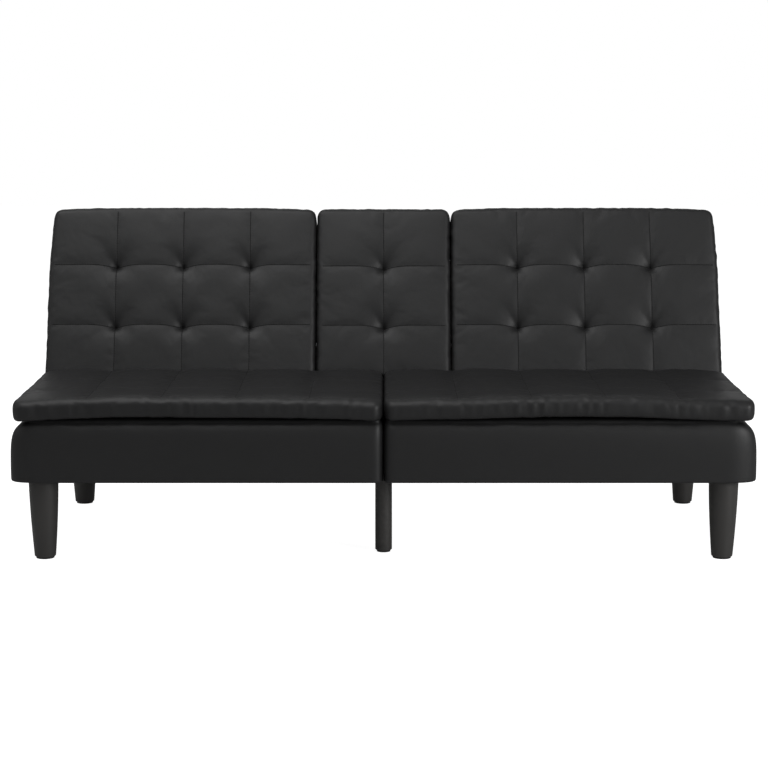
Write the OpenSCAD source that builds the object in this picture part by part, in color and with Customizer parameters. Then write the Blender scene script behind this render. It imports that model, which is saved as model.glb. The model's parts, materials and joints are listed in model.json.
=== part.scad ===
// Futon sofa bed: two upholstered seat halves on round tapered legs, a split
// backrest that reclines flat, and a middle section that folds down as a
// console with two cup wells. Millimetres, +Z up, the front faces -Y.
// The origin is on the floor, under the middle of the upright sofa.

/* [Overall] */
// Width across both seat halves
overall_w = 1800; // [1500:10:2100]
// Depth of the upholstered seat, front face to rear face
seat_d = 480; // [400:1:600]
// How far the steel base runs on behind the seat, under the backrest
base_tail = 282; // [270:1:340]
// Height of the underside of the seat
leg_h = 200; // [120:5:260]
// Gap between the left and right seat halves
half_gap = 6; // [4:1:12]

/* [Seat] */
// Height of the seat box, from the frame's underside to the top of the foam
seat_box_h = 150; // [130:5:180]
// Thickness of the loose-looking pillow top
pillow_t = 46; // [35:1:60]
// How far the pillow top stays inside the seat box on each open side
pillow_inset = 10; // [6:1:20]
// Edge radius of the pillow top, as a share of its thickness
pillow_round = 0.45; // [0.2:0.01:0.48]
// Edge radius of the foam block, as a share of its height
foam_round = 0.3; // [0.15:0.01:0.45]
// Padding between the side of the frame and the outside of the seat box
border_t = 24; // [20:1:30]
// Air between the foam block and the pillow top
pillow_gap = 2; // [1:1:4]

/* [Steel frame] */
// Width of the base tubes
tube_w = 30; // [25:1:40]
// Height of the base tubes
tube_h = 40; // [35:1:45]
// Distance of the joining bolts from the ends of the tubes
joint_inset = 60; // [40:5:90]
// Wall of all steel tubes
tube_wall = 1.5; // [1:0.1:2.5]
// Side of the square backrest tubes
back_tube = 25; // [20:1:28]
// Clearance between pieces that are fitted but do not touch
fit_gap = 1; // [0.5:0.1:2]

/* [Springs] */
// Number of zigzag springs in each seat half
spring_count = 4; // [3:1:6]
// Number of bends in each spring
spring_bends = 12; // [8:2:16]
// Thickness of the spring wire
spring_wire = 4; // [3:0.5:5]
// Width across one spring
spring_w = 60; // [45:1:80]

/* [Legs] */
// Radius of a corner leg at the top
leg_top_r = 36; // [25:1:40]
// Radius of a corner leg at the foot
leg_foot_r = 26; // [18:1:30]
// Radius of the straight middle leg
middle_leg_r = 20.8; // [15:0.1:25]
// Height of the plastic glide under each leg
glide_h = 4; // [3:0.5:8]
// Distance from the front face to the front legs
front_leg_y = 65; // [50:1:90]
// Distance from the rear end of the base to the rear legs
rear_leg_inset = 47; // [45:1:70]
// Distance from the front face to the middle leg
middle_leg_y = 132; // [100:1:300]
// Distance from the sofa's end to the middle of a corner leg
leg_inset = 72; // [60:1:90]
// Side of the square leg plates
plate_w = 78; // [70:1:80]
// Thickness of the leg plates
plate_t = 3; // [2:0.5:5]
// Radius of the leg's hanger bolt
leg_bolt_r = 4; // [3:0.5:5]

/* [Backrest] */
// Length of the backrest from its lower to its upper edge
back_len = 506; // [440:1:610]
// Thickness of the backrest
back_t = 110; // [100:1:125]
// Lean of the upright backrest from the vertical, in degrees
back_lean = 19.5; // [14:0.5:26]
// How far the backrest's lower front edge is below the top of the seat box
back_drop = 2; // [0:1:8]
// Gap between the seat and the backrest
back_gap = 4; // [3:1:10]
// How far the backrest's ends stay inside the ends of the seat
back_inset = 7; // [4:1:9]
// How far the flat backrest stands above the pillow top
flat_rise = 4; // [2:1:8]
// Depth of the backrest's hinge pin behind its front face
hinge_depth = 50; // [40:1:60]
// Thickness of the foam in front of the backrest's tubes
back_foam_t = 75; // [60:1:82]
// Edge radius of the backrest cushions, as a share of the console cushion's thickness
back_round = 0.47; // [0.2:0.01:0.48]

/* [Hinges] */
// Radius of the hinge pins
pin_r = 6; // [4:0.5:8]
// Running clearance of each pin in its hole
pin_clear = 0.05; // [0.02:0.01:0.1]
// Thickness of the hinge plates
hinge_t = 4; // [3:0.5:5]
// Outer radius of the toothed disc on the hinge arm
ratchet_r = 26; // [22:1:30]
// Number of notches in the toothed disc
ratchet_teeth = 6; // [4:1:8]
// Radius of the bolts in the frame
bolt_r = 4; // [3:0.5:5]

/* [Console] */
// Half width of the middle section
console_half_w = 176.5; // [147:0.5:200]
// Gap between the middle section and each side section
console_gap = 5; // [4:0.5:8]
// Height of the console's lower edge along the backrest
console_foot = 33; // [31:1:60]
// How far the console's upper edge is below the backrest's
console_drop = 6; // [0:0.5:10]
// Height of the console's pivot along the backrest
console_pivot_u = 132; // [128:1:150]
// Depth of the console's pivot behind the front face
console_pivot_v = 46; // [42:1:50]
// Thickness of the console's front cushion
console_foam_t = 34; // [25:1:36]
// Thickness of the console's boards
board_t = 12; // [9:1:15]
// Radius of the cup wells
cup_r = 38; // [34:0.5:45]
// Depth of the cup wells
cup_depth = 55; // [35:1:58]
// Distance of each cup well from the middle of the console
cup_x = 75; // [60:1:90]
// Distance of the cup wells from the console's upper edge
cup_u = 125; // [70:1:160]

/* [Hidden] */
$fn = 64;
corner_steps = 5;

// Where the sofa stands: its box is centred on the origin in X and Y
back_foot_y = seat_d + back_gap;
base_d = seat_d + base_tail;
depth = max(base_d, back_foot_y + back_len * sin(back_lean) + back_t * cos(back_lean));
front_y = -depth / 2;
half_w = overall_w / 2;

// Heights
rail_z = leg_h + plate_t;
rail_top = rail_z + tube_h;
foam_z = rail_top + spring_wire + fit_gap;
seat_top = leg_h + seat_box_h;
pillow_z = seat_top + pillow_gap;
pillow_top_z = seat_top + pillow_t;
back_foot_z = seat_top - back_drop;
flat_z = pillow_top_z + flat_rise;

// Places across the base
side_x = half_w - border_t - fit_gap - tube_w;
centre_x = half_gap / 2;
rail_x0 = centre_x + tube_w;
rail_len = side_x - rail_x0;
rail_y0 = border_t + fit_gap;
seat_rear_y = seat_d - border_t - fit_gap - tube_w;
rear_y = base_d - tube_w;
corner_leg_x = half_w - leg_inset;
rear_leg_y = base_d - rear_leg_inset;
joint_ys = [rail_y0 + joint_inset, seat_rear_y - joint_inset, rear_y - joint_inset];
leg_places = [[-corner_leg_x, front_leg_y], [corner_leg_x, front_leg_y],
    [-corner_leg_x, rear_leg_y], [corner_leg_x, rear_leg_y], [0, middle_leg_y]];

// The hinge: the pin sits where the flat backrest meets the seat's height
hinge_u = (flat_z - back_foot_z - hinge_depth + hinge_depth * sin(back_lean)) / cos(back_lean);
pin_y = back_foot_y + hinge_u * sin(back_lean) + hinge_depth * cos(back_lean);
pin_z = back_foot_z + hinge_u * cos(back_lean) - hinge_depth * sin(back_lean);
recline = 90 - back_lean;
plate_x = half_w - border_t - fit_gap;
arm_x = plate_x - hinge_t - 2 * fit_gap;
outer_rail_x = arm_x - back_tube;
end_pad_x = plate_x + hinge_t + 3 * fit_gap;
back_half_w = half_w - back_inset;
hinge_room = 95;
hinge_bolt_pitch = 44;
hinge_bolt_ys = [pin_y - hinge_bolt_pitch / 2, pin_y + hinge_bolt_pitch / 2];

// The backrest's sections, in its own frame: x across, y behind the front face, z up its slope
tube_v = back_foam_t + 3;
panel_t = back_t - tube_v - back_tube - fit_gap;
inner_x = console_half_w + console_gap;
inner_rail_x = inner_x + 2 + hinge_t;
inner_pad_t = 2;
edge_pad = 14;
low_rail_u = 20;
top_rail_u = back_len - edge_pad - fit_gap - back_tube;
cross_u = 2;
cross_tube = 22;
bracket_w = 36;
tray_t = 4;
cup_wall = 2.5;
board_top = back_t - tray_t;
console_top = back_len - console_drop;
back_r = back_round * console_foam_t;

// Small shared shapes -------------------------------------------------------

module tube(size, wall) {
    difference() {
        cube(size);
        long = size[0] > size[1] && size[0] > size[2] ? 0 : size[1] > size[2] ? 1 : 2;
        cut = [for (i = [0 : 2]) i == long ? size[i] + 2 : size[i] - 2 * wall];
        translate([for (i = [0 : 2]) i == long ? -1 : wall]) cube(cut);
    }
}

// One quarter turn of a rounded corner, as points
function corner(x, y, r, start) = [for (i = [0 : corner_steps])
    let (a = start + 90 * i / corner_steps) [x + r * cos(a), y + r * sin(a)]];

module round_square(w, h, r) {
    polygon(concat(corner(w - r, h - r, r, 0), corner(r, h - r, r, 90),
        corner(r, r, r, 180), corner(w - r, r, r, 270)));
}

// A block of foam between two corners, with all of its edges rounded
module soft_box(low, high, r) {
    size = high - low;
    translate(low) intersection() {
        linear_extrude(size[2]) round_square(size[0], size[1], r);
        translate([0, size[1], 0]) rotate([90, 0, 0])
            linear_extrude(size[1]) round_square(size[0], size[2], r);
        rotate([90, 0, 90]) linear_extrude(size[0]) round_square(size[1], size[2], r);
    }
}

// Hexagon heads and nuts, from the radius of the thread
function head_r(r) = 1.8 * r;
function head_t(r) = 1.4 * r;
nut_t = 6;

// A bolt along +X with its head at the low end
module bolt(length, r) {
    rotate([0, 90, 0]) cylinder(h = length, r = r);
    translate([-head_t(r), 0, 0]) rotate([0, 90, 0]) cylinder(h = head_t(r), r = head_r(r), $fn = 6);
}

module nut(r) {
    rotate([0, 90, 0]) difference() {
        cylinder(h = nut_t, r = head_r(r), $fn = 6);
        translate([0, 0, -1]) cylinder(h = nut_t + 2, r = r);
    }
}

// Draws its children once at [x, y, z], with the sofa's front face at y = 0
module at(place) {
    translate([place[0], place[1] + front_y, place[2]]) children();
}

// The left piece mirrors the right one
module on_side(side) {
    if (side < 0) mirror([1, 0, 0]) children();
    else children();
}

module in_backrest() {
    at([0, back_foot_y, back_foot_z]) rotate([-back_lean, 0, 0]) children();
}

// Base frame ----------------------------------------------------------------

module front_rail(side) {
    color("dimgray") on_side(side) at([rail_x0, rail_y0, rail_z])
        tube([rail_len, tube_w, tube_h], tube_wall);
}

module seat_rear_rail(side) {
    color("dimgray") on_side(side) at([rail_x0, seat_rear_y, rail_z])
        tube([rail_len, tube_w, tube_h], tube_wall);
}

module rear_rail(side) {
    color("dimgray") on_side(side) at([rail_x0, rear_y, rail_z])
        tube([rail_len, tube_w, tube_h], tube_wall);
}

module side_rail(side) {
    color("dimgray") on_side(side) difference() {
        at([side_x, rail_y0, rail_z]) tube([tube_w, base_d - rail_y0, tube_h], tube_wall);
        for (y = hinge_bolt_ys) at([side_x - 1, y, rail_z + tube_h / 2]) rotate([0, 90, 0])
            cylinder(h = tube_w + 2, r = bolt_r + pin_clear);
    }
}

module centre_rail(side) {
    color("dimgray") on_side(side) difference() {
        at([centre_x, rail_y0, rail_z]) tube([tube_w, base_d - rail_y0, tube_h], tube_wall);
        for (y = joint_ys) at([centre_x - 1, y, rail_z + tube_h / 2]) rotate([0, 90, 0])
            cylinder(h = tube_w + 2, r = bolt_r + pin_clear);
    }
}

spacer_w = 34;

module centre_spacers() {
    color("silver") for (y = joint_ys) at([-centre_x, y, rail_z + tube_h / 2]) rotate([0, 90, 0])
        difference() {
            cylinder(h = half_gap, r = spacer_w / 2);
            translate([0, 0, -1]) cylinder(h = half_gap + 2, r = bolt_r + pin_clear);
        }
}

module joining_bolts() {
    reach = centre_x + tube_w;
    color("silver") for (y = joint_ys) at([0, y, rail_z + tube_h / 2]) {
        translate([-reach, 0, 0]) bolt(2 * reach + nut_t + 2, bolt_r);
        translate([reach, 0, 0]) nut(bolt_r);
    }
}

// Seat upholstery -----------------------------------------------------------

module zigzag(bends, length, width, wire) {
    pitch = length / bends;
    turn = pitch / 2;
    for (i = [0 : bends - 1]) {
        way = i % 2 == 0 ? 1 : -1;
        translate([way * (width / 2 - turn), (i + 0.5) * pitch]) intersection() {
            difference() {
                circle(turn + wire / 2);
                circle(turn - wire / 2);
            }
            translate([way > 0 ? 0 : -pitch, -pitch]) square([pitch, 2 * pitch]);
        }
    }
    for (i = [0 : bends]) translate([-(width / 2 - turn), i * pitch - wire / 2])
        square([width - 2 * turn, wire]);
}

module seat_springs(side) {
    room = rail_len / spring_count;
    length = seat_rear_y - rail_y0;
    color("silver") on_side(side) for (i = [0 : spring_count - 1])
        at([rail_x0 + (i + 0.5) * room, rail_y0 + tube_w / 2, rail_top])
            linear_extrude(spring_wire) zigzag(spring_bends, length, spring_w, spring_wire);
}

module seat_foam(side) {
    foam_r = foam_round * (seat_top - foam_z);
    color("#2b2a29") on_side(side)
        at([0, 0, 0]) soft_box([centre_x, 0, foam_z], [half_w, seat_d, seat_top], foam_r);
}

// Padded strips around the outside of the base tubes: front, end and rear
module seat_border(side) {
    h = foam_z - fit_gap - leg_h;
    end_len = seat_d - 2 * border_t - 2 * fit_gap;
    color("#2b2a29") on_side(side) {
        at([centre_x, 0, leg_h]) cube([half_w - centre_x, border_t, h]);
        at([half_w - border_t, border_t + fit_gap, leg_h]) cube([border_t, end_len, h]);
        at([centre_x + tube_w + fit_gap, seat_d - border_t, leg_h])
            cube([side_x - centre_x - tube_w - 2 * fit_gap, border_t, h]);
    }
}

module pillow_top(side) {
    pillow_r = pillow_round * (pillow_top_z - pillow_z);
    color("#2b2a29") on_side(side) at([0, 0, 0])
        soft_box([centre_x, pillow_inset / 2, pillow_z],
            [half_w - pillow_inset, seat_d - fit_gap, pillow_top_z], pillow_r);
}

dust_cloth_t = 1.2;
dust_hem = 6;
plate_room = 4;

// Thin cloth under the tubes, cut away at the leg plates
module dust_cover(side) {
    cloth_w = side_x + tube_w - centre_x - 2 * dust_hem;
    cloth_d = seat_rear_y + tube_w - rail_y0 - 2 * dust_hem;
    color("black") on_side(side) at([0, 0, rail_z - dust_cloth_t - 0.3]) linear_extrude(dust_cloth_t)
        difference() {
            translate([centre_x + dust_hem, rail_y0 + dust_hem]) square([cloth_w, cloth_d]);
            for (place = leg_places) translate([abs(place[0]), place[1]])
                square(plate_w + 2 * plate_room, center = true);
        }
}

// Legs ----------------------------------------------------------------------

function leg_r(t) = leg_foot_r + (leg_top_r - leg_foot_r) * (1 - pow(1 - t, 1.6));
foot_round = 3;
middle_foot_round = 2;
leg_steps = 16;

module tapered_leg(place) {
    top = leg_h - glide_h;
    color("#35312f") at([place[0], place[1], glide_h]) rotate_extrude() polygon(concat(
        [[0, 0], [leg_foot_r - foot_round, 0]],
        [for (a = [15 : 15 : 75]) [leg_foot_r - foot_round * (1 - sin(a)), foot_round * (1 - cos(a))]],
        [for (i = [1 : leg_steps]) let (t = i / leg_steps) [leg_r(t), foot_round + (top - foot_round) * t]],
        [[0, top]]));
}

module middle_leg() {
    top = leg_h - glide_h;
    color("#35312f") at([0, middle_leg_y, glide_h]) rotate_extrude() polygon([[0, 0],
        [middle_leg_r - middle_foot_round, 0], [middle_leg_r, middle_foot_round],
        [middle_leg_r, top], [0, top]]);
}

module leg_plates() {
    color("dimgray") for (place = leg_places) at([place[0], place[1], leg_h]) linear_extrude(plate_t)
        difference() {
            square(plate_w, center = true);
            circle(leg_bolt_r + pin_clear);
        }
}

// The threaded pin that holds each leg in its plate. The middle leg's has no
// head, because the two centre tubes lie on its plate.
module leg_bolts() {
    color("silver") for (place = leg_places) at([place[0], place[1], leg_h]) {
        cylinder(h = plate_t, r = leg_bolt_r);
        if (place[0] != 0) translate([0, 0, plate_t])
            cylinder(h = head_t(leg_bolt_r), r = head_r(leg_bolt_r), $fn = 6);
    }
}

glide_inset = 4;

module leg_glides() {
    color("black") for (place = leg_places) at([place[0], place[1], 0])
        cylinder(h = glide_h, r = (place[0] == 0 ? middle_leg_r : leg_foot_r) - glide_inset);
}

// Hinges --------------------------------------------------------------------

pawl_r = 4;
pawl_body_r = 9;
pawl_reach = 18;
pawl_clear = 2;
pawl_angle = 25;
pin_eye_r = 14;
pin_head_r = 9;
pin_head_t = 2;
notch_r = 3.5;
arm_neck_h = 34;
arm_len = 130;
foot_w = 80;
neck_w = 54;
neck_shift = 4;

// The plate bolted to the base's end tube, with a neck up to the hinge pin
module hinge_plate(side) {
    foot_z = rail_z + 2;
    neck_y = pin_y - neck_w / 2 - neck_shift;
    color("dimgray") on_side(side) at([plate_x, 0, 0]) rotate([90, 0, 90]) linear_extrude(hinge_t)
        difference() {
            union() {
                translate([pin_y - foot_w / 2, foot_z]) square([foot_w, tube_h - 4]);
                translate([neck_y, foot_z + 8]) square([neck_w, pin_z - foot_z - 8]);
                translate([pin_y, pin_z]) circle(pin_eye_r);
            }
            translate([pin_y, pin_z]) circle(pin_r + pin_clear);
            at_pawl() circle(pawl_r + pin_clear);
            for (y = hinge_bolt_ys) translate([y, rail_z + tube_h / 2]) circle(bolt_r + pin_clear);
        }
}

module hinge_pins() {
    length = plate_x + hinge_t - arm_x;
    color("silver") for (side = [-1, 1]) on_side(side) at([arm_x - 2, pin_y, pin_z]) rotate([0, 90, 0]) {
        cylinder(h = length + 2, r = pin_r);
        translate([0, 0, length + 2]) cylinder(h = pin_head_t, r = pin_head_r);
    }
}

module hinge_bolts() {
    color("silver") for (side = [-1, 1], y = hinge_bolt_ys) on_side(side)
        at([plate_x + hinge_t, y, rail_z + tube_h / 2]) mirror([1, 0, 0]) {
            bolt(hinge_t + tube_w + nut_t + 2, bolt_r);
            translate([hinge_t + tube_w, 0, 0]) nut(bolt_r);
        }
}

// The pawl stands just clear of the teeth, on its own pivot in the hinge plate
module hinge_pawls() {
    color("silver") for (side = [-1, 1]) on_side(side) at([arm_x, 0, 0]) rotate([90, 0, 90]) at_pawl() {
        linear_extrude(hinge_t) union() {
            circle(pawl_body_r);
            translate([-4, 0]) square([8, pawl_reach - pawl_clear]);
        }
        translate([0, 0, hinge_t]) cylinder(h = 2 * fit_gap + hinge_t, r = pawl_r);
    }
}

// Below and in front of the pin, turned so that the pawl points at the pin
module at_pawl() {
    translate([pin_y, pin_z]) rotate(-pawl_angle) translate([0, -ratchet_r - pawl_reach]) children();
}

// The toothed arm that carries the backrest on the pin
module hinge_arm(side) {
    reach = tube_v - hinge_depth;
    step = recline / (ratchet_teeth - 1);
    color("dimgray") on_side(side) in_backrest() translate([arm_x, 0, 0]) rotate([90, 0, 90])
        linear_extrude(hinge_t) difference() {
            union() {
                translate([hinge_depth, hinge_u]) circle(ratchet_r);
                translate([hinge_depth - 12, hinge_u]) square([reach + 12, arm_neck_h]);
                translate([tube_v, hinge_u]) square([back_tube, arm_len]);
            }
            translate([hinge_depth, hinge_u]) circle(pin_r + pin_clear);
            for (i = [0 : ratchet_teeth - 1]) translate([hinge_depth, hinge_u])
                rotate(back_lean - 90 - pawl_angle + i * step) translate([ratchet_r, 0]) circle(notch_r);
        }
}

// Backrest frame ------------------------------------------------------------

side_rail_w = outer_rail_x - inner_rail_x - back_tube;

module back_bottom_rail(side) {
    color("dimgray") on_side(side) in_backrest() translate([inner_rail_x + back_tube, tube_v, low_rail_u])
        tube([side_rail_w, back_tube, back_tube], tube_wall);
}

module back_top_rail(side) {
    color("dimgray") on_side(side) in_backrest() translate([inner_rail_x + back_tube, tube_v, top_rail_u])
        tube([side_rail_w, back_tube, back_tube], tube_wall);
}

module back_outer_rail(side) {
    color("dimgray") on_side(side) in_backrest() translate([outer_rail_x, tube_v, low_rail_u])
        tube([back_tube, back_tube, top_rail_u + back_tube - low_rail_u], tube_wall);
}

module back_inner_rail(side) {
    color("dimgray") on_side(side) in_backrest() translate([inner_rail_x, tube_v, cross_u])
        tube([back_tube, back_tube, top_rail_u + back_tube - cross_u], tube_wall);
}

// Ties the two side sections together under the console
module back_cross_tube() {
    color("dimgray") in_backrest() translate([-inner_rail_x, tube_v, cross_u])
        tube([2 * inner_rail_x, cross_tube, cross_tube], tube_wall);
}

strap_w = 50;
strap_t = 1.5;
strap_count = 5;
strap_end = 4;

module back_webbing() {
    step = (top_rail_u - low_rail_u - back_tube) / strap_count;
    color("black") for (side = [-1, 1], i = [0 : strap_count - 1]) on_side(side) in_backrest()
        translate([inner_rail_x + strap_end, tube_v - strap_t - 0.5,
            low_rail_u + back_tube + (i + 0.5) * step - strap_w / 2])
            cube([outer_rail_x + back_tube - inner_rail_x - 2 * strap_end, strap_t, strap_w]);
}

// Foam in front of the tubes; its lower outer corner stays open for the hinge
module back_cushion(side) {
    low = [inner_x + inner_pad_t + hinge_t + fit_gap, 0, 0];
    high = [end_pad_x - fit_gap, back_foam_t, back_len];
    room_x = outer_rail_x + back_tube - 2 * fit_gap;
    color("#2b2a29") on_side(side) in_backrest() difference() {
        soft_box(low, high, back_r);
        translate([room_x, -1, -1]) cube([high[0] - room_x + 1, back_foam_t + 2, hinge_room + 1]);
    }
}

strip_u = console_pivot_u + bracket_w / 2;
strip_end = 12;
strip_inset = 4;

// Padded strips that close the edges of a side section: end, inner and top
module back_border(side) {
    strip_top = back_len - strip_end;
    color("#2b2a29") on_side(side) in_backrest() {
        translate([end_pad_x, back_r / 2, strip_inset])
            cube([back_half_w - end_pad_x, back_t - back_r, strip_top]);
        translate([inner_x, strip_end, strip_u])
            cube([inner_pad_t, back_t - 1.5 * strip_end, strip_top - strip_u]);
        translate([inner_rail_x, tube_v, back_len - edge_pad])
            cube([end_pad_x - fit_gap - inner_rail_x, back_tube, edge_pad]);
    }
}

module back_panel(side) {
    panel_u = low_rail_u / 2;
    panel_w = arm_x + hinge_t - fit_gap - inner_rail_x;
    color("#2b2a29") on_side(side) in_backrest() translate([inner_rail_x, back_t - panel_t, panel_u])
        cube([panel_w, panel_t, back_len - panel_u - 2]);
}

// Console -------------------------------------------------------------------

// Plates on the inner tubes that carry the console's pivots
module console_brackets() {
    color("dimgray") for (side = [-1, 1]) on_side(side) in_backrest()
        translate([inner_x + inner_pad_t, 0, 0]) rotate([90, 0, 90]) linear_extrude(hinge_t) difference() {
            union() {
                translate([console_pivot_v, console_pivot_u]) circle(bracket_w / 2);
                translate([console_pivot_v, console_pivot_u - bracket_w / 2])
                    square([tube_v + back_tube - console_pivot_v, bracket_w]);
            }
            translate([console_pivot_v, console_pivot_u]) circle(pin_r + pin_clear);
        }
}

board_inset = 4;
board_x = console_half_w - board_t - board_inset;
board_d = board_top - console_foam_t;

module console_pins() {
    inner = board_x - 4;
    color("silver") for (side = [-1, 1]) on_side(side) in_backrest()
        translate([inner, console_pivot_v, console_pivot_u]) rotate([0, 90, 0]) {
            cylinder(h = inner_x + inner_pad_t + hinge_t - inner, r = pin_r);
            cylinder(h = 4, r = pin_head_r);
        }
}

module console_side_boards() {
    color("burlywood") for (side = [-1, 1]) on_side(side) in_backrest() difference() {
        translate([board_x, console_foam_t, console_foot + board_inset])
            cube([board_t, board_d, console_top - console_foot - 2 * board_inset]);
        translate([board_x - 1, console_pivot_v, console_pivot_u]) rotate([0, 90, 0])
            cylinder(h = board_t + 2, r = pin_r + pin_clear);
    }
}

module console_end_boards() {
    ends = [console_foot + board_inset, console_top - board_inset - board_t];
    color("burlywood") in_backrest() for (u = ends)
        translate([-board_x, console_foam_t, u]) cube([2 * board_x, board_d, board_t]);
}

module console_cushion() {
    color("#2b2a29") in_backrest()
        soft_box([-console_half_w, 0, console_foot], [console_half_w, console_foam_t, console_top], back_r);
}

// Moulded plate on the console's rear face, which is its top when folded down
module cup_tray() {
    color("black") in_backrest() translate([0, back_t, 0]) rotate([90, 0, 0]) difference() {
        union() {
            translate([-console_half_w, console_foot, 0])
                cube([2 * console_half_w, console_top - console_foot, tray_t]);
            for (x = [-cup_x, cup_x]) translate([x, back_len - cup_u, 0])
                cylinder(h = cup_depth + cup_wall, r = cup_r + cup_wall);
        }
        for (x = [-cup_x, cup_x]) translate([x, back_len - cup_u, -1])
            cylinder(h = cup_depth + 1, r = cup_r);
    }
}

front_rail(-1);  // front_rail_left
front_rail(1);  // front_rail_right
side_rail(-1);  // side_rail_left
side_rail(1);  // side_rail_right
centre_rail(-1);  // centre_rail_left
centre_rail(1);  // centre_rail_right
seat_rear_rail(-1);  // seat_rear_rail_left
seat_rear_rail(1);  // seat_rear_rail_right
rear_rail(-1);  // rear_rail_left
rear_rail(1);  // rear_rail_right
centre_spacers();
joining_bolts();
seat_springs(-1);  // seat_springs_left
seat_springs(1);  // seat_springs_right
seat_foam(-1);  // seat_foam_left
seat_foam(1);  // seat_foam_right
seat_border(-1);  // seat_border_left
seat_border(1);  // seat_border_right
pillow_top(-1);  // pillow_top_left
pillow_top(1);  // pillow_top_right
dust_cover(-1);  // dust_cover_left
dust_cover(1);  // dust_cover_right
tapered_leg(leg_places[0]);  // leg_front_left
tapered_leg(leg_places[1]);  // leg_front_right
tapered_leg(leg_places[2]);  // leg_rear_left
tapered_leg(leg_places[3]);  // leg_rear_right
middle_leg();  // leg_middle
leg_plates();
leg_bolts();
leg_glides();
hinge_plate(-1);  // hinge_plate_left
hinge_plate(1);  // hinge_plate_right
hinge_pins();
hinge_bolts();
hinge_pawls();
hinge_arm(-1);  // hinge_arm_left
hinge_arm(1);  // hinge_arm_right
back_bottom_rail(-1);  // back_bottom_rail_left
back_bottom_rail(1);  // back_bottom_rail_right
back_top_rail(-1);  // back_top_rail_left
back_top_rail(1);  // back_top_rail_right
back_outer_rail(-1);  // back_outer_rail_left
back_outer_rail(1);  // back_outer_rail_right
back_inner_rail(-1);  // back_inner_rail_left
back_inner_rail(1);  // back_inner_rail_right
back_cross_tube();
back_webbing();
back_cushion(-1);  // back_cushion_left
back_cushion(1);  // back_cushion_right
back_border(-1);  // back_border_left
back_border(1);  // back_border_right
back_panel(-1);  // back_panel_left
back_panel(1);  // back_panel_right
console_brackets();
console_pins();
console_side_boards();
console_end_boards();
console_cushion();
cup_tray();
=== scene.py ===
"""Looks of the futon sofa bed: tufted faux-leather pads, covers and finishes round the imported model."""
import json
import math

import bpy
import numpy as np
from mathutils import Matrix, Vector


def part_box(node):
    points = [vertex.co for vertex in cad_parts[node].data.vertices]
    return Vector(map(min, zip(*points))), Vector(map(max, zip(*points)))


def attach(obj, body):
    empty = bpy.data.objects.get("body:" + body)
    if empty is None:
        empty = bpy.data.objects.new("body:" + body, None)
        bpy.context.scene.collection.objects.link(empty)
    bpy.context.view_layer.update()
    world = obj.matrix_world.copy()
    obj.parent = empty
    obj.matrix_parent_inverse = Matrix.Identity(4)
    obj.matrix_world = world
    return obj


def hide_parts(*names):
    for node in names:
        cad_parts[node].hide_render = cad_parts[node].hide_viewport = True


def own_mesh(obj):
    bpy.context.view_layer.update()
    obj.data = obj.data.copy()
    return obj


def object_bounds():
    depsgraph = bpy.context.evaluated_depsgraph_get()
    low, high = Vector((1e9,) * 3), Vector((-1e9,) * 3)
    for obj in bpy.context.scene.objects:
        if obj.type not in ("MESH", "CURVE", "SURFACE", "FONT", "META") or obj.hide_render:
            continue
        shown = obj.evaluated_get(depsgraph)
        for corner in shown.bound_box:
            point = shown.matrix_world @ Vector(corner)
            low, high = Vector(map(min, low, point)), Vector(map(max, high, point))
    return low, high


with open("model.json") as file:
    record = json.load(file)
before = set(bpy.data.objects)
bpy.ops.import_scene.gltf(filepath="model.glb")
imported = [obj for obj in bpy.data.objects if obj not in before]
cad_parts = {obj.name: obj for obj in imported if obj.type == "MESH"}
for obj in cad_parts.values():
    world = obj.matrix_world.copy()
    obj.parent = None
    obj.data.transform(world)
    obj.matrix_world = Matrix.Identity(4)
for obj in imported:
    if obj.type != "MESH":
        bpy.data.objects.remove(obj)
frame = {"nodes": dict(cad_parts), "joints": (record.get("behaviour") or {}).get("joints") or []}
cad_low, cad_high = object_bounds()

MM = 0.001
FRONT_Y = cad_low.y

# Upright lean of the backrest, from the travel of its hinge to flat
recline = next(j for j in frame["joints"] if j["name"] == "back_recline")
LEAN = math.radians(90 - max(recline["range_deg"]))
ACROSS = np.array([1.0, 0.0, 0.0])
UP_BACK = np.array([0.0, math.sin(LEAN), math.cos(LEAN)])
OUT_BACK = np.array([0.0, -math.cos(LEAN), math.sin(LEAN)])

# Tufting module, shared by the seat and the backrest
COLUMN = 178 * MM
SEAT_ROWS = (0.335, 0.67)
BACK_ROWS = (0.352, 0.676)


# Camera, light and floor ----------------------------------------------------

def make_camera():
    """In front of the front legs, above the backrest's top, looking slightly down."""
    legs_y, distance, height, tilt = FRONT_Y + 0.065, 4.748, 1.141, 8.53
    data = bpy.data.cameras.new("camera")
    data.sensor_width = 36
    data.lens = 93.1
    camera = bpy.data.objects.new("camera", data)
    bpy.context.scene.collection.objects.link(camera)
    camera.location = (0.001, legs_y - distance, height)
    camera.rotation_euler = (math.radians(90 - tilt), 0, 0)
    bpy.context.scene.camera = camera


def soft_light(name, place, target, size, power):
    data = bpy.data.lights.new(name, "AREA")
    data.shape = "RECTANGLE"
    data.size, data.size_y = size
    data.energy = power
    light = bpy.data.objects.new(name, data)
    bpy.context.scene.collection.objects.link(light)
    light.location = place
    light.rotation_euler = (Vector(target) - Vector(place)).to_track_quat("-Z", "Y").to_euler()


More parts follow.
